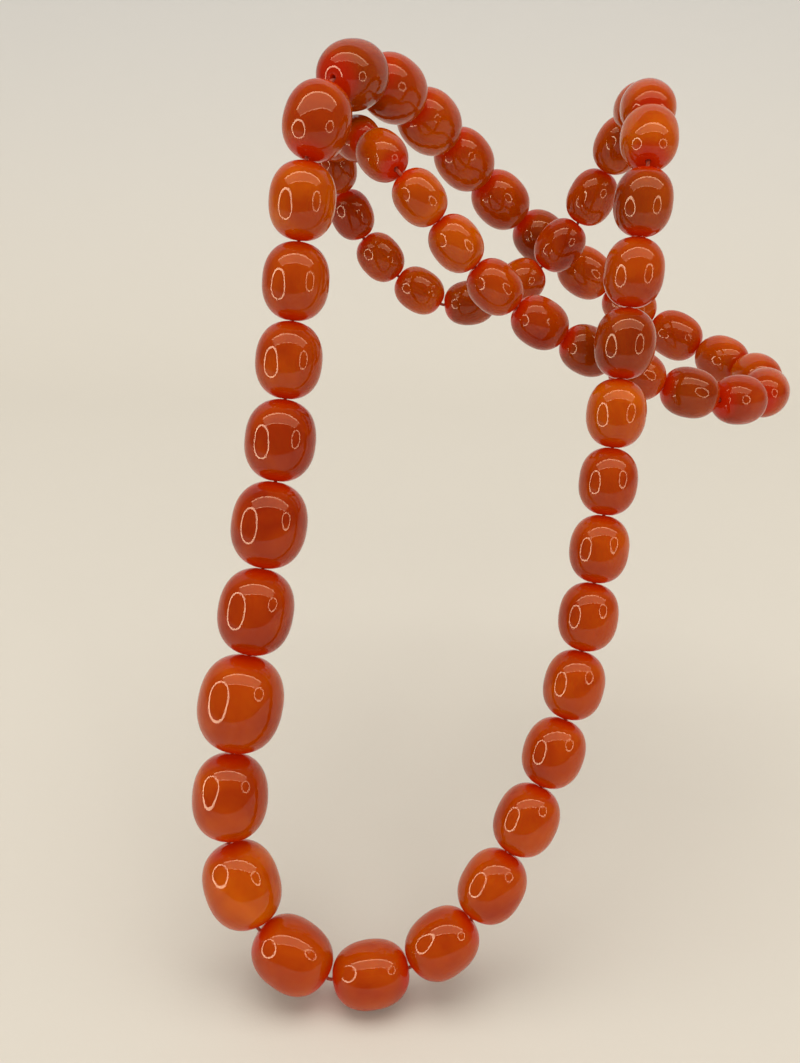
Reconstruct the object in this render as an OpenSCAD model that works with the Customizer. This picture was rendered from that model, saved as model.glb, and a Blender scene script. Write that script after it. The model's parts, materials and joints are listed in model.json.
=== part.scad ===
// A long strand of graduated barrel beads on one knotted cord, draped over a straight support.
// The front loop hangs forward to the surface below, and the small beads cross in front of it.
// +Z is up, +X is to the right, and the origin is on the support's top front edge.

/* [Beads] */
// Diameter of the single centre bead, the largest of the strand
centre_d = 21.2; // [19:0.1:23]
// Diameter of the two beads on each side of the centre bead
flank_d = 18.8; // [17:0.1:20.5]
// Diameter of the fourth bead from the centre
front_d = 16.5; // [15:0.1:18]
// Diameter of the eighth bead from the centre
side_d = 15.1; // [14:0.1:16]
// Diameter of the twentieth bead from the centre
rear_d = 14; // [13:0.1:15]
// Diameter of the twenty-fourth bead from the centre
nape_d = 13.4; // [12.5:0.1:14]
// Diameter of the last bead on each side, next to the knot
end_d = 11.8; // [11:0.1:12.5]
// Bead length as a share of its diameter
length_ratio = 1.14; // [1.08:0.01:1.2]
// Fullness of a bead's side: 2 is an ellipse, and more is a squarer barrel
fullness = 2.3; // [2:0.1:2.6]
// Share of the hand-sorted size differences that is kept
sorting = 1; // [0:0.1:1]

/* [Drilling] */
// Diameter of the hole drilled along each bead
bore_d = 1.5; // [1.3:0.1:1.6]
// Width of the small bevel at the mouth of the hole
bevel_w = 0.25; // [0.1:0.05:0.3]
// Width of the flat ring left round the mouth
rim_w = 0.6; // [0.3:0.1:0.9]

/* [Cord] */
// Diameter of the stringing cord
cord_d = 0.9; // [0.6:0.1:1]
// Diameter of the closing knot
knot_d = 2.2; // [1.8:0.1:2.4]
// Clear space between the knot and the bead on each side of it
knot_gap = 0.4; // [0.3:0.1:0.8]
// Clear space between neighbouring beads
bead_gap = 0.15; // [0.1:0.05:0.4]

/* [Hidden] */
pairs = 29;
beads = 2 * pairs + 1;
amber = "#b2470f";
thread = "#8c3b14";
// Overrun of cuts past the faces that they open
skin = 0.01;

// The cord's route from the knot: front swag, round the right end, behind, over on the left, the
// front loop down and up again, over on the right, and behind once more.
route = [
    [-28, 7, 5], [-22, -6, 2], [-13, -6, -8], [6, -4, -30], [18, -3, -39], [31, -1, -46],
    [45, 0, -53], [60, 1, -58], [74, 4, -61], [86, 17, -62], [89, 34, -61], [83, 50, -60],
    [69, 61, -55], [38, 65, -35], [13, 60, -16], [-2, 48, 0], [-12, 35, 10], [-22, 19, 18],
    [-31, 2, 23], [-38, -13, 12], [-41, -16, -9], [-44, -25, -46], [-48, -38, -83],
    [-54, -54, -124], [-57, -63, -147], [-54, -71, -167], [-42, -77, -183], [-23, -79, -188],
    [-4, -75, -180], [9, -69, -166], [28, -49, -120], [39, -18, -28], [42, -9, 6],
    [44, 7, 13], [45, 25, 14], [44, 41, 7], [27, 45, -27], [-1, 43, -44], [-29, 43, -25],
    [-39, 35, 2]
];
// Distance along the route from its first point to the middle of the knot
knot_at = -12;

// Even grade of diameters, by place from the centre bead
grade = [
    [0, centre_d], [1, flank_d], [2, flank_d], [4, front_d], [8, side_d],
    [20, rear_d], [24, nape_d], [pairs, end_d]
];
// Departures from that grade, as shares of it, left side negative: the beads are sorted by hand
odd_sizes = [
    [-26, 0], [-25, -0.01], [-24, -0.02], [-23, -0.04], [-22, -0.04], [-21, -0.02], [-18, 0],
    [-17, 0.01], [-16, 0.03], [-14, 0.06], [-12, 0.09], [-11, 0.11], [-10, 0.14], [-9, 0.14],
    [-8, 0.12], [-7, 0.06], [-6, 0.03], [-5, 0.02], [-4, 0], [3, 0], [5, 0], [7, 0.01],
    [9, 0], [10, -0.01], [12, -0.02], [13, 0], [14, 0.03], [15, 0.01], [16, -0.01],
    [17, 0]
];

// Place of each bead, from the one left of the knot to the one right of it: 0 is the centre bead
places = [for (i = [-pairs : pairs]) i];
function bead_d(i) = lookup(abs(i), grade) * (1 + sorting * lookup(i, odd_sizes));
function bead_l(i) = bead_d(i) * length_ratio;
mouth_r = bore_d / 2 + bevel_w;
face_r = mouth_r + rim_w;
// Straight steps from a bead's middle to its end face
outline_steps = 12;
// Half outline of a bead, a full oval that is cut square where it has narrowed to the end faces
function outline(d, l) =
    let (power = 2 / fullness, last = acos((2 * face_r / d) ^ (1 / power)))
    let (reach = l / 2 / sin(last) ^ power)
    [
        for (step = [-outline_steps : outline_steps])
            let (angle = last * step / outline_steps)
            [d / 2 * cos(angle) ^ power, sign(step) * reach * abs(sin(angle)) ^ power]
    ];

// The route as one smooth closed curve through its points
route_steps = 12;
function unit(v) = v / norm(v);
function slope(before, here, after) =
    (after - before) / (norm(after - here) + norm(here - before));
function blend(a, b, slope_a, slope_b, u) =
    (2 * u ^ 3 - 3 * u ^ 2 + 1) * a
    + (u ^ 3 - 2 * u ^ 2 + u) * norm(b - a) * slope_a
    + (3 * u ^ 2 - 2 * u ^ 3) * b
    + (u ^ 3 - u ^ 2) * norm(b - a) * slope_b;
function route_point(i) = route[(i + len(route)) % len(route)];
function route_slope(i) = slope(route_point(i - 1), route_point(i), route_point(i + 1));
curve = [
    for (i = [0 : len(route) - 1], step = [0 : route_steps - 1])
        blend(
            route_point(i), route_point(i + 1),
            route_slope(i), route_slope(i + 1), step / route_steps
        ),
    route[0]
];
function curve_point(i) = curve[min(i, len(curve) - 1)];
travel = [
    for (i = 0, s = 0;
        i < len(curve);
        s = s + norm(curve_point(i + 1) - curve_point(i)), i = i + 1)
        s
];
route_length = travel[len(travel) - 1];
curve_x = [for (i = [0 : len(curve) - 1]) [travel[i], curve[i].x]];
curve_y = [for (i = [0 : len(curve) - 1]) [travel[i], curve[i].y]];
curve_z = [for (i = [0 : len(curve) - 1]) [travel[i], curve[i].z]];

// The point at distance s along the route, once the route is stretched by k to fit the beads
function round_route(s) = s - route_length * floor(s / route_length);
function spot(s, k) =
    let (t = round_route(s / k))
    k * [lookup(t, curve_x), lookup(t, curve_y), lookup(t, curve_z)];

// Length from a bead's end face to the point where the strand turns by twice the lean, so that
// the bead's rim or shoulder stays on its own side there
function room(i, lean) =
    let (reach = max([for (p = outline(bead_d(i), bead_l(i))) p.x * sin(lean) + p.y * cos(lean)]))
    (reach + bead_gap / 2) / cos(lean) - bead_l(i) / 2;

// Each bead spans from one turning point to the next, and the first and last end at the knot
knot_space = knot_d + 2 * knot_gap;
solve_steps = 5;
function span_of(n, leans) =
    let (i = n - pairs)
    bead_l(i) + room(i, leans[n]) + room(i, leans[n + 1]);
function next_s(s, guess, span, k, tries) =
    tries == 0 ? guess
    : next_s(s, guess + span - norm(spot(guess, k) - spot(s, k)), span, k, tries - 1);
function thread_on(k, leans) = [
    for (n = 0, s = knot_at + knot_space / 2;
        n <= beads;
        span = span_of(min(n, beads - 1), leans),
            s = next_s(s, s + span, span, k, solve_steps),
            n = n + 1)
        s
];
function turning_points(stops, k) = [for (s = stops) spot(s, k)];
function leans_at(turns) = [
    for (n = [0 : beads])
        n == 0 || n == beads ? 0
        : acos(min(1, unit(turns[n] - turns[n - 1]) * unit(turns[n + 1] - turns[n]))) / 2
];

// The stretch of the route at which the knot and all the beads just close the loop, and the leans
function settled(k, leans, tries) =
    let (stops = thread_on(k, leans), used = stops[beads] - stops[0] + knot_space)
    tries == 0 ? [k, leans]
    : settled(used / route_length, leans_at(turning_points(stops, k)), tries - 1);
settle_steps = 12;
fitted = settled(1, [for (n = [0 : beads]) 0], settle_steps);
stretch = fitted[0];
leans = fitted[1];
turns = turning_points(thread_on(stretch, leans), stretch);

function start_of(i) = turns[i + pairs];
function end_of(i) = turns[i + pairs + 1];
function aim(i) = unit(end_of(i) - start_of(i));
function off_middle(i) = (room(i, leans[i + pairs]) - room(i, leans[i + pairs + 1])) / 2;
function middle(i) = (start_of(i) + end_of(i)) / 2 + off_middle(i) * aim(i);
knot_middle = (turns[0] + turns[beads]) / 2;

function two_figures(n) = n < 10 ? str("0", n) : str(n);
function bead_name(i) =
    i == 0 ? "centre_bead"
    : str(i < 0 ? "left_bead_" : "right_bead_", two_figures(abs(i)));

// Turn a shape made along +Z so that it points along a
module along(a) {
    rotate([0, acos(a.z), atan2(a.y, a.x)])
    children();
}

// Barrel bead, drilled along its length, with a small bevel at each mouth of the hole
module barrel_bead(d, l) {
    difference() {
        rotate_extrude($fn = 64)
        polygon(concat([[0, -l / 2]], outline(d, l), [[0, l / 2]]));
        cylinder(d = bore_d, h = l + 2 * skin, center = true, $fn = 24);
        for (side = [0, 1])
        mirror([0, 0, side])
        translate([0, 0, l / 2 - bevel_w])
        cylinder(r1 = bore_d / 2, r2 = mouth_r + skin, h = bevel_w + skin, $fn = 24);
    }
}
module bead(i) {
    color(amber)
    translate(middle(i))
    along(aim(i))
    barrel_bead(bead_d(i), bead_l(i));
}

// Cord: one tube from the knot round to the knot, with a mitred ring at every turning point
cord_sides = 8;
cord_stops = concat([knot_middle], turns, [knot_middle]);
cord_legs = [for (i = [0 : len(cord_stops) - 2]) unit(cord_stops[i + 1] - cord_stops[i])];
function square_to(v, a) = unit(v - (v * a) * a);
leg_sides = [
    for (i = 0, v = square_to([0, 0, 1], cord_legs[0]);
        i < len(cord_legs);
        i = i + 1, v = square_to(v, cord_legs[min(i, len(cord_legs) - 1)]))
        v
];
function ring(i) =
    let (leg = min(i, len(cord_legs) - 1), a = cord_legs[leg], v = leg_sides[leg])
    let (before = cord_legs[max(i - 1, 0)], cut = i == len(cord_legs) ? a : unit(a + before))
    [
        for (n = [0 : cord_sides - 1])
            let (angle = 360 * n / cord_sides)
            let (out = cord_d / 2 * (cos(angle) * v + sin(angle) * cross(a, v)))
            cord_stops[i] + out - (out * cut) / (a * cut) * a
    ];
module cord_tube() {
    rings = [for (i = [0 : len(cord_stops) - 1]) ring(i)];
    last = (len(rings) - 1) * cord_sides;
    walls = [
        for (i = [0 : len(rings) - 2], n = [0 : cord_sides - 1])
            let (m = (n + 1) % cord_sides, a = i * cord_sides, b = a + cord_sides)
            for (face = [[a + n, b + n, b + m], [a + n, b + m, a + m]])
                face
    ];
    start_cap = [for (n = [0 : cord_sides - 1]) n];
    end_cap = [for (n = [cord_sides - 1 : -1 : 0]) last + n];
    polyhedron([for (r = rings, p = r) p], concat(walls, [start_cap, end_cap]));
}
module stringing_cord() {
    color(thread) {
        cord_tube();
        translate(knot_middle)
        sphere(d = knot_d, $fn = 24);
    }
}

stringing_cord();
for (i = places)
    bead(i);
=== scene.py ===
"""Long strand of graduated amber-orange barrel beads on a knotted cord, draped as if over an edge.

Everything is in metres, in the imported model's frame: +Z up, +X to the right, +Y to the back.
"""

import json
import math

import bmesh
import bpy
from mathutils import Matrix, Vector, noise


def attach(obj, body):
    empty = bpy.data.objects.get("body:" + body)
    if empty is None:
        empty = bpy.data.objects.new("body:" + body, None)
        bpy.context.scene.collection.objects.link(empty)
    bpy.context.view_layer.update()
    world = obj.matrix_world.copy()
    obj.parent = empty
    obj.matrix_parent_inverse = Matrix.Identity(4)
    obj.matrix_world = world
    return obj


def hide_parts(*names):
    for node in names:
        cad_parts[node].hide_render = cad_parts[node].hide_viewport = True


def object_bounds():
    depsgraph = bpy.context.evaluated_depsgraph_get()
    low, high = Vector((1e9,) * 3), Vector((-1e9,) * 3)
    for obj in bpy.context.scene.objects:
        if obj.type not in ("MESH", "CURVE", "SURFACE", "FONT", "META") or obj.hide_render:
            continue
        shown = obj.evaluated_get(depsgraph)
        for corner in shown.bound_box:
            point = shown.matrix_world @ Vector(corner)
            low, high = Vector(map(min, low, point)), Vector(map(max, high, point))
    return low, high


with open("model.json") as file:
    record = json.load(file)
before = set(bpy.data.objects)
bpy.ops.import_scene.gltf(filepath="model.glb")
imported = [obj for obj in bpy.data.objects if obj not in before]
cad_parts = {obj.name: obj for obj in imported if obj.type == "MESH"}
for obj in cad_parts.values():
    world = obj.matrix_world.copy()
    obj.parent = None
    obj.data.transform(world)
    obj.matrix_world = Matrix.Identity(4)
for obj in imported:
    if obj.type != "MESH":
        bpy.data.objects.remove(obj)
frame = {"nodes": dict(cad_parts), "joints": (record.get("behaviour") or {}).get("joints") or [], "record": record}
cad_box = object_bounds()

MM = 0.001
JOINTS = {joint["child"]: joint for joint in frame["joints"]}
BEADS = [body for body in frame["record"]["behaviour"]["bodies"] if body in JOINTS]
CORD = "stringing_cord"

# The beads were sorted by size and not by tone: these ones are darker, redder or brighter than the rest
DEEP_BEADS = (
    "left_bead_08", "left_bead_13", "left_bead_21", "left_bead_23",
    "right_bead_14", "right_bead_16", "right_bead_24",
)
RED_BEADS = (
    "left_bead_01", "left_bead_02", "left_bead_03", "left_bead_20", "left_bead_24",
    "right_bead_22", "right_bead_27",
)
BRIGHT_BEADS = (
    "left_bead_06", "left_bead_15", "left_bead_26", "left_bead_27",
    "right_bead_02", "right_bead_13", "right_bead_17", "right_bead_25",
)


# ---------------------------------------------------------------- camera


def place_camera():
    """Camera a forearm's length in front of the strand, looking down at its front loop."""
    data = bpy.data.cameras.new("camera")
    data.sensor_fit = "VERTICAL"
    data.sensor_height = 36
    data.lens = 36.89
    data.clip_start = 0.01
    data.clip_end = 20
    camera = bpy.data.objects.new("camera", data)
    bpy.context.scene.collection.objects.link(camera)
    right = Vector((0.99939, 0.03322, 0.01116))
    forward = Vector((-0.02691, 0.93140, -0.36300))
    right = (right - right.dot(forward) * forward / forward.length_squared).normalized()
    forward.normalize()
    up = right.cross(forward)
    camera.matrix_world = Matrix(
        (
            (right.x, up.x, -forward.x, -0.00875),
            (right.y, up.y, -forward.y, -0.28778),
            (right.z, up.z, -forward.z, 0.01276),
            (0, 0, 0, 1),
        )
    )
    bpy.context.scene.camera = camera
    return camera


# ---------------------------------------------------------------- material helpers


def linear(hex_colour):
    """An sRGB hex colour as the linear RGBA that the shaders take."""
    values = [int(hex_colour[i : i + 2], 16) / 255 for i in (1, 3, 5)]
    return [v / 12.92 if v <= 0.04045 else ((v + 0.055) / 1.055) ** 2.4 for v in values] + [1.0]


def add(material, kind, settings=None, **links):
    """One node: settings are its attributes or input values, links are input name to output socket.

    Inputs that share a name go by their number: 7 in the settings, _6 among the links.
    """
    node = material.node_tree.nodes.new(kind)
    for name, value in (settings or {}).items():
        if isinstance(name, str) and hasattr(node, name):
            setattr(node, name, value)
        else:
            node.inputs[name].default_value = value
    for name, socket in links.items():
        key = int(name[1:]) if name[0] == "_" else name.replace("_", " ")
        material.node_tree.links.new(socket, node.inputs[key])
    return node


def new_material(name):
    """An empty material that takes nodes."""
    material = bpy.data.materials.new(name)
    material.use_nodes = True
    material.node_tree.nodes.clear()
    return material


def ramp(node, *stops):
    """Sets a colour ramp's stops: (position, hex colour) pairs."""
    elements = node.color_ramp.elements
    while len(elements) > len(stops):
        elements.remove(elements[-1])
    while len(elements) < len(stops):
        elements.new(1.0)
    for element, (position, colour) in zip(elements, stops):
        element.position = position
        element.color = linear(colour)


# ---------------------------------------------------------------- materials


CLOUD_WIDTH = 11 * MM
POLISH_WAVE = 5 * MM
POLISH_DEPTH = 0.02 * MM
# Light spreads about this far through the body before it comes out
GLOW_REACH = 3.0 * MM
CARD_GRAIN = 1.2 * MM
CARD_GRAIN_DEPTH = 0.1 * MM
# The backdrop has turned fully grey at this height above the floor
WALL_TONE_AT = 0.7


def polished_amber(name, light, body, deep):
    """Amber-like resin, turned and polished: a clear gloss over a glowing orange body, with soft clouds
    inside, painted shade near the drilled ends (a redder, darker body, where light has further to go), and a
    painted red glow round each mouth."""
    material = new_material(name)
    place = add(material, "ShaderNodeTexCoord").outputs["Object"]
    toward_end = add(material, "ShaderNodeAttribute", {"attribute_name": "toward_end"})
    clouds = add(
        material,
        "ShaderNodeTexNoise",
        {"Scale": 1 / CLOUD_WIDTH, "Detail": 3.0, "Roughness": 0.45, "Distortion": 0.5},
        Vector=place,
    )
    tones = add(material, "ShaderNodeValToRGB", None, Fac=clouds.outputs["Fac"])
    ramp(tones, (0.30, deep), (0.50, body), (0.72, light))
    # Painted shade: this share rises towards each drilled end, where the beads meet, and mixes the body towards
    # dark red; the same share drives the painted glow round each mouth
    end_shade_and_glow = add(
        material,
        "ShaderNodeMapRange",
        {"interpolation_type": "SMOOTHSTEP", "From Min": 0.66, "From Max": 1.0, "To Max": 0.85},
        Value=toward_end.outputs["Fac"],
    )
    # Painted shade: the cloud tones turn to dark red #8C1200 near the ends
    colour = add(
        material,
        "ShaderNodeMix",
        {"data_type": "RGBA", 7: linear("#8C1200")},
        Factor=end_shade_and_glow.outputs["Result"],
        _6=tones.outputs["Color"],
    )
    waves = add(
        material,
        "ShaderNodeTexNoise",
        {"Scale": 1 / POLISH_WAVE, "Detail": 1.0},
        Vector=place,
    )
    bump = add(
        material,
        "ShaderNodeBump",
        {"Strength": 1.0, "Distance": POLISH_DEPTH},
        Height=waves.outputs["Fac"],
    )
    # Painted glow: a little red light of its own round each mouth stands for the light that the clear body carries
    # there
    painted_mouth_glow = add(
        material,
        "ShaderNodeMix",
        {"data_type": "RGBA", 6: linear("#000000"), 7: linear("#B01A00")},
        Factor=end_shade_and_glow.outputs["Result"],
    )
    surface = add(
        material,
        "ShaderNodeBsdfPrincipled",
        {
            "Roughness": 0.5,
            "Emission Strength": 0.45,
            "IOR": 1.54,
            "Specular IOR Level": 0.0,
            "Subsurface Weight": 0.6,
            "Subsurface Radius": (1.0, 0.4, 0.1),
            "Subsurface Scale": GLOW_REACH,
            "Coat Weight": 1.0,
            "Coat Roughness": 0.015,
            "Coat IOR": 1.38,
        },
        Base_Color=colour.outputs[2],
        Emission_Color=painted_mouth_glow.outputs[2],
        Coat_Normal=bump.outputs["Normal"],
    )
    add(material, "ShaderNodeOutputMaterial", None, Surface=surface.outputs["BSDF"])
    return material


def waxed_thread():
    """Twisted polyester stringing thread, waxed: dull orange-red, with painted shade down between its plies and
    lighter crowns.
    """
    material = new_material("waxed_thread")
    ply_shade = add(material, "ShaderNodeAttribute", {"attribute_name": "ply_height"})
    # Painted shade: the thread is darkest in the grooves between plies and lightest on the crown of each ply
    tones = add(material, "ShaderNodeValToRGB", None, Fac=ply_shade.outputs["Fac"])
    ramp(tones, (0.0, "#6E1604"), (0.6, "#97290B"), (1.0, "#AA4016"))
    surface = add(
        material,
        "ShaderNodeBsdfPrincipled",
        {"Roughness": 0.62, "Sheen Weight": 0.25},
        Base_Color=tones.outputs["Color"],
    )
    add(material, "ShaderNodeOutputMaterial", None, Surface=surface.outputs["BSDF"])
    return material


def lamp_glow(name, colour, strength):
    """A lamp's frosted diffuser, lit evenly."""
    material = new_material(name)
    glow = add(material, "ShaderNodeEmission", {"Color": linear(colour), "Strength": strength})
    add(material, "ShaderNodeOutputMaterial", None, Surface=glow.outputs["Emission"])
    return material


def matt_card():
    """Matt studio card with a faint paper grain: cream underfoot, pale cool grey up the backdrop."""
    material = new_material("matt_card")
    place = add(material, "ShaderNodeTexCoord").outputs["Object"]
    height = add(material, "ShaderNodeSeparateXYZ", None, Vector=place)
    climb = add(
        material,
        "ShaderNodeMapRange",
        {"From Min": cad_box[0][2], "From Max": cad_box[0][2] + WALL_TONE_AT},
        Value=height.outputs["Z"],
    )
    tones = add(material, "ShaderNodeValToRGB", None, Fac=climb.outputs["Result"])
    ramp(tones, (0.0, "#D0C9BC"), (1.0, "#C1C4C8"))
    grain = add(material, "ShaderNodeTexNoise", {"Scale": 1 / CARD_GRAIN, "Detail": 2.0}, Vector=place)
    bump = add(
        material,
        "ShaderNodeBump",
        {"Strength": 0.3, "Distance": CARD_GRAIN_DEPTH},
        Height=grain.outputs["Fac"],
    )
    surface = add(
        material,
        "ShaderNodeBsdfPrincipled",
        {"Roughness": 0.9, "Specular IOR Level": 0.1},
        Base_Color=tones.outputs["Color"],
        Normal=bump.outputs["Normal"],
    )
    add(material, "ShaderNodeOutputMaterial", None, Surface=surface.outputs["BSDF"])
    return material


# ---------------------------------------------------------------- mesh helpers


def finished(mesh_source, name):
    """A bmesh as a named object with smooth faces, turned outward."""
    bmesh.ops.recalc_face_normals(mesh_source, faces=mesh_source.faces)
    mesh = bpy.data.meshes.new(name)
    mesh_source.to_mesh(mesh)
    mesh_source.free()
    mesh.polygons.foreach_set("use_smooth", [True] * len(mesh.polygons))
    piece = bpy.data.objects.new(name, mesh)
    bpy.context.scene.collection.objects.link(piece)
    return piece


def chain(mesh_source, points, closed=False):
    """A run of edges through the points."""
    verts = [bmesh.ops.create_vert(mesh_source, co=p)["vert"][0] for p in points]
    pairs = list(zip(verts, verts[1:])) + ([(verts[-1], verts[0])] if closed else [])
    for a, b in pairs:
        mesh_source.edges.new((a, b))
    return verts


# ---------------------------------------------------------------- beads

SPIN_STEPS = 72
SIDE_STEPS = 22
LIP_STEPS = 4
BORE_R = 0.75 * MM
LIP = 0.25 * MM
# The flat rim round each mouth ends here
FACE_R = 1.6 * MM
# Exponent of the oval outline: 2 is an ellipse, and more is fuller in the shoulders
FULLNESS = 2.3
# Polishing by hand takes off about this share of the radius, unevenly, and none near the bore
UNEVEN = 0.012


def measured(body):
    """A bead's middle, its bore's direction, its radius and its half length, from the frame."""
    joint = JOINTS[body]
    middle = Vector(joint["pos_m"])
    axis = Vector(joint["axis"]).normalized()
    radius = 0.0
    half = 0.0
    for vert in frame["nodes"][body].data.vertices:
        offset = vert.co - middle
        height = offset.dot(axis)
        half = max(half, abs(height))
        radius = max(radius, (offset - height * axis).length)
    return middle, axis, radius, half


def bead_outline(radius, half):
    """Closed outline of half a bead's section in the XZ plane, from its side round into its bore: a
    full oval, cut square where it has narrowed to the flat rim of the bore's mouth."""
    power = 2 / FULLNESS
    last = math.acos((FACE_R / radius) ** (1 / power))
    reach = half / math.sin(last) ** power
    side = []
    for step in range(-SIDE_STEPS, SIDE_STEPS + 1):
        angle = last * step / SIDE_STEPS
        height = math.copysign(reach * abs(math.sin(angle)) ** power, step)
        side.append((radius * math.cos(angle) ** power, height))
    mouth_r = BORE_R + LIP
    mouth = []
    for step in range(LIP_STEPS + 1):
        angle = math.radians(90 * step / LIP_STEPS)
        mouth.append((mouth_r - LIP * math.sin(angle), half - LIP * (1 - math.cos(angle))))
    wall = [(BORE_R, half * share) for share in (0.5, 0.0, -0.5)]
    back = [(x, -z) for x, z in reversed(mouth)]
    return [Vector((x, 0, z)) for x, z in side + mouth + wall + back]


def turned_bead(body, material):
    """One drilled barrel bead, spun round its bore, with the slight unevenness of hand polishing."""
    middle, axis, radius, half = measured(body)
    shape = bmesh.new()
    verts = chain(shape, bead_outline(radius, half), closed=True)
    bmesh.ops.spin(
        shape,
        geom=verts + list(shape.edges),
        cent=(0, 0, 0),
        axis=(0, 0, 1),
        angle=2 * math.pi,
        steps=SPIN_STEPS,
        use_merge=True,
    )
    toward_end = shape.verts.layers.float.new("toward_end")
    for vert in shape.verts:
        vert[toward_end] = abs(vert.co.z) / half
        across = math.hypot(vert.co.x, vert.co.y)
        outer = min(1.0, max(0.0, (across - 0.3 * radius) / (0.5 * radius)))
        swell = noise.noise(vert.co / (0.9 * radius) + middle / MM)
        shrink = 1 - UNEVEN * outer * (0.5 + swell)
        vert.co.x *= min(1.0, shrink)
        vert.co.y *= min(1.0, shrink)
    turn = Vector((0, 0, 1)).rotation_difference(axis).to_matrix().to_4x4()
    bmesh.ops.transform(shape, matrix=Matrix.Translation(middle) @ turn, verts=shape.verts)
    bead = finished(shape, body + "_polished")
    bead.data.materials.append(material)
    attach(bead, body)
    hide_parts(body)
    return bead


# ---------------------------------------------------------------- cord

CORD_R = 0.45 * MM
PLY_DEPTH = 0.16
PLY_PITCH = 3.2 * MM
CORD_SIDES = 12
CORD_STEP = 0.4 * MM
EASING_PASSES = 3


def cord_corners():
    """The points where the cord turns between beads, from one side of the knot to the other."""
    ends = []
    for body in BEADS:
        middle, axis, radius, half = measured(body)
        ends.append((middle - half * axis, middle + half * axis))
    corners = [ends[0][0]]
    corners += [(a[1] + b[0]) / 2 for a, b in zip(ends, ends[1:])]
    corners.append(ends[-1][1])
    return corners


def cord_line():
    """The closed cord's centre line in small even steps, its corners slightly eased."""
    corners = cord_corners()
    line = []
    for a, b in zip(corners, corners[1:] + corners[:1]):
        count = max(2, round((b - a).length / CORD_STEP))
        line += [a.lerp(b, i / count) for i in range(count)]
    for _ in range(EASING_PASSES):
        line = [
            (line[i - 1] + 2 * line[i] + line[(i + 1) % len(line)]) / 4 for i in range(len(line))
        ]
    return line


def threaded_cord(material):
    """Three-ply cord swept once round the whole strand, its two ends beside the knot."""
    line = cord_line()
    count = len(line)
    shape = bmesh.new()
    ply_height = shape.verts.layers.float.new("ply_height")
    side = Vector((0, 0, 1))
    rings = []
    travelled = 0.0
    total = sum((line[(i + 1) % count] - line[i]).length for i in range(count))
    turns = round(total / PLY_PITCH)
    for i, centre in enumerate(line):
        aim = (line[(i + 1) % count] - line[i - 1]).normalized()
        side = (side - side.dot(aim) * aim).normalized()
        other = aim.cross(side)
        ring = []
        for n in range(CORD_SIDES):
            angle = 2 * math.pi * n / CORD_SIDES
            wave = abs(math.cos(1.5 * (angle - 2 * math.pi * turns * travelled / total)))
            reach = CORD_R * (1 - PLY_DEPTH * (1 - wave))
            vert = shape.verts.new(centre + reach * (math.cos(angle) * side + math.sin(angle) * other))
            vert[ply_height] = wave
            ring.append(vert)
        rings.append(ring)
        travelled += (line[(i + 1) % count] - centre).length
    for ring, after in zip(rings, rings[1:]):
        for n in range(CORD_SIDES):
            m = (n + 1) % CORD_SIDES
            shape.faces.new((ring[n], ring[m], after[m], after[n]))
    shape.faces.new(rings[0])
    shape.faces.new(rings[-1])
    cord = finished(shape, "three_ply_cord")
    cord.data.materials.append(material)
    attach(cord, "cord")
    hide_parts(CORD)
    return cord


def barrel_knot(material):
    """The cord's closing knot: three snug wraps of thread between the first bead and the last."""
    corners = cord_corners()
    centre = (corners[0] + corners[-1]) / 2
    aim = (corners[0] - corners[-1]).normalized()
    thread_r = 0.38 * MM
    wrap_r = 0.66 * MM
    pitch = 1.6 * thread_r
    upright = Matrix.Rotation(math.radians(90), 4, "X")
    lean = Matrix.Rotation(math.radians(14), 4, "X")
    shape = bmesh.new()
    for place in (-1, 0, 1):
        ring = bmesh.ops.create_circle(shape, segments=12, radius=thread_r)["verts"]
        bmesh.ops.transform(shape, matrix=Matrix.Translation((wrap_r, 0, 0)) @ upright, verts=ring)
        edges = [edge for edge in shape.edges if all(vert in ring for vert in edge.verts)]
        before = set(shape.verts) - set(ring)
        bmesh.ops.spin(
            shape,
            geom=ring + edges,
            cent=(0, 0, 0),
            axis=(0, 0, 1),
            angle=2 * math.pi,
            steps=32,
            use_merge=True,
        )
        wrap = [vert for vert in shape.verts if vert not in before]
        bmesh.ops.transform(shape, matrix=Matrix.Translation((0, 0, place * pitch)) @ lean, verts=wrap)
    ply_height = shape.verts.layers.float.new("ply_height")
    for vert in shape.verts:
        vert[ply_height] = 0.8
    turn = Vector((0, 0, 1)).rotation_difference(aim).to_matrix().to_4x4()
    bmesh.ops.transform(shape, matrix=Matrix.Translation(centre) @ turn, verts=shape.verts)
    knot = finished(shape, "barrel_knot")
    knot.data.materials.append(material)
    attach(knot, "cord")
    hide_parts(CORD)
    return knot


# ---------------------------------------------------------------- studio


def lay_floor(material):
    """Floor under the lowest bead, curving up behind into the backdrop."""
    low = cad_box[0][2]
    front = -0.9
    depth = 0.5
    bend = 0.5
    bend_steps = 16
    height = 3.0
    half_width = 3.0
    section = [Vector((-half_width, front, low)), Vector((-half_width, depth, low))]
    for step in range(1, bend_steps + 1):
        angle = math.radians(90 * step / bend_steps)
        back = depth + bend * math.sin(angle)
        section.append(Vector((-half_width, back, low + bend * (1 - math.cos(angle)))))
    section.append(Vector((-half_width, depth + bend, low + height)))
    shape = bmesh.new()
    chain(shape, section)
    grown = bmesh.ops.extrude_edge_only(shape, edges=shape.edges[:])
    moved = [v for v in grown["geom"] if isinstance(v, bmesh.types.BMVert)]
    bmesh.ops.translate(shape, vec=(2 * half_width, 0, 0), verts=moved)
    floor = finished(shape, "floor")
    floor.data.materials.append(material)
    return floor


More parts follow.
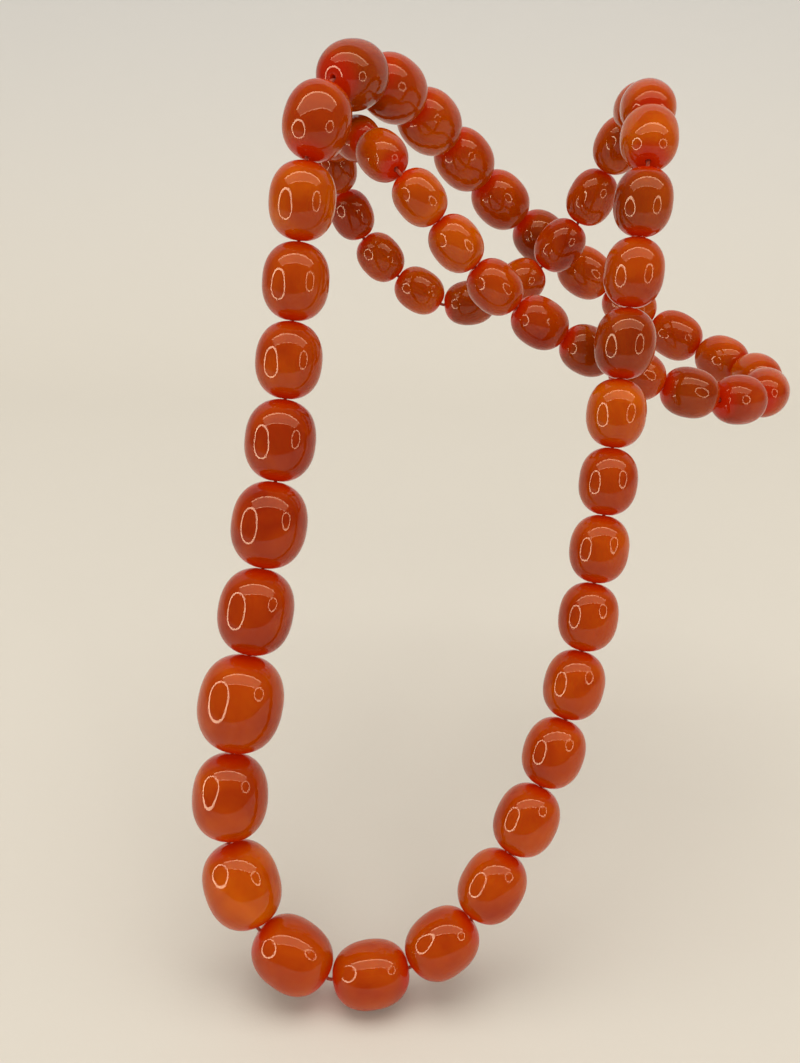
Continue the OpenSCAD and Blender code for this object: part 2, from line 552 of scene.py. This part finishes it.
def area_lamp(name, place, target, size, power):
    """White softbox, turned to its target, that lights the scene without showing in the gloss."""
    data = bpy.data.lights.new(name, "AREA")
    data.shape = "RECTANGLE"
    data.size, data.size_y = size
    data.energy = power
    lamp = bpy.data.objects.new(name, data)
    lamp.location = place
    lamp.rotation_euler = (Vector(target) - Vector(place)).to_track_quat("-Z", "Y").to_euler()
    lamp.visible_glossy = False
    bpy.context.scene.collection.objects.link(lamp)
    return lamp


def hung_in_studio(shape, name, place, target, material):
    """A lamp's glowing face, turned to its target, that shows only as a reflection in the gloss."""
    turn = (Vector(target) - Vector(place)).to_track_quat("Z", "Y").to_matrix().to_4x4()
    bmesh.ops.transform(shape, matrix=Matrix.Translation(place) @ turn, verts=shape.verts)
    face = finished(shape, name)
    face.data.materials.append(material)
    face.visible_camera = False
    face.visible_diffuse = False
    face.visible_transmission = False
    face.visible_shadow = False
    return face


RING_STEPS = 96


def ring_lamp(name, place, target, radius, width, material):
    """Flat glowing ring."""
    shape = bmesh.new()
    verts = chain(shape, [Vector((radius - width / 2, 0, 0)), Vector((radius + width / 2, 0, 0))])
    bmesh.ops.spin(
        shape,
        geom=verts + list(shape.edges),
        cent=(0, 0, 0),
        axis=(0, 0, 1),
        angle=2 * math.pi,
        steps=RING_STEPS,
        use_merge=True,
    )
    return hung_in_studio(shape, name, place, target, material)


def panel_lamp(name, place, target, size, material):
    """Flat glowing panel, size[0] along X."""
    shape = bmesh.new()
    bmesh.ops.create_grid(shape, x_segments=1, y_segments=1, size=0.5)
    bmesh.ops.scale(shape, vec=(size[0], size[1], 1), verts=shape.verts)
    return hung_in_studio(shape, name, place, target, material)


def light_studio():
    """Broad soft light from above and in front, and the lamps that the polish mirrors: a large ring on
    the left, a small one on the right, and a light box overhead with a brighter tube along each side."""
    middle = (Vector(cad_box[0]) + Vector(cad_box[1])) / 2
    area_lamp("overhead_softbox", (0, 0.2, 2.6), middle, (3.0, 3.0), 75)
    area_lamp("front_softbox", (0.3, -2.4, 0.9), middle, (2.4, 2.4), 34)
    bright = lamp_glow("ring_diffuser", "#FFE2BD", 16.0)
    tube = lamp_glow("tube_diffuser", "#FFDDB4", 11.0)
    pane = lamp_glow("light_box_pane", "#FFDDB4", 2.6)
    ring_lamp("left_ring_lamp", (-0.28, -0.19, -0.03), (-0.04, -0.03, -0.08), 0.145, 0.024, bright)
    ring_lamp("right_ring_lamp", (0.22, -0.19, 0.00), (-0.04, -0.03, -0.06), 0.075, 0.014, tube)
    over = 0.38
    for name, y, width, glow in (
        ("light_box_back_tube", -0.10, 0.035, tube),
        ("light_box_front_tube", -0.38, 0.022, tube),
        ("light_box_middle", -0.25, 0.27, pane),
    ):
        panel_lamp(name, (0.06, y, over), (0.06, y, 0), (1.2, width), glow)
    world = bpy.data.worlds.new("studio_air")
    bpy.context.scene.world = world
    world.use_nodes = True
    world.node_tree.nodes.clear()
    rays = add(world, "ShaderNodeLightPath")
    strength = add(
        world,
        "ShaderNodeMapRange",
        {"To Min": 0.55, "To Max": 0.16},
        Value=rays.outputs["Is Glossy Ray"],
    )
    air = add(
        world,
        "ShaderNodeBackground",
        {"Color": linear("#EFE9DF")},
        Strength=strength.outputs["Result"],
    )
    add(world, "ShaderNodeOutputWorld", None, Surface=air.outputs["Background"])


# ---------------------------------------------------------------- making it

bpy.context.scene.view_settings.view_transform = "Standard"
place_camera()
mid = polished_amber("polished_amber_mid", "#B04600", "#A43A00", "#982D00")
tone_of = {}
for tone, names in (
    (polished_amber("polished_amber_deep", "#9C3C00", "#8E3000", "#822500"), DEEP_BEADS),
    (polished_amber("polished_amber_red", "#A53A00", "#982D00", "#8B2200"), RED_BEADS),
    (polished_amber("polished_amber_bright", "#BE5600", "#AF4700", "#A33900"), BRIGHT_BEADS),
):
    tone_of.update((name, tone) for name in names)
for bead_body in BEADS:
    turned_bead(bead_body, tone_of.get(bead_body, mid))
thread = waxed_thread()
threaded_cord(thread)
barrel_knot(thread)
lay_floor(matt_card())
light_studio()
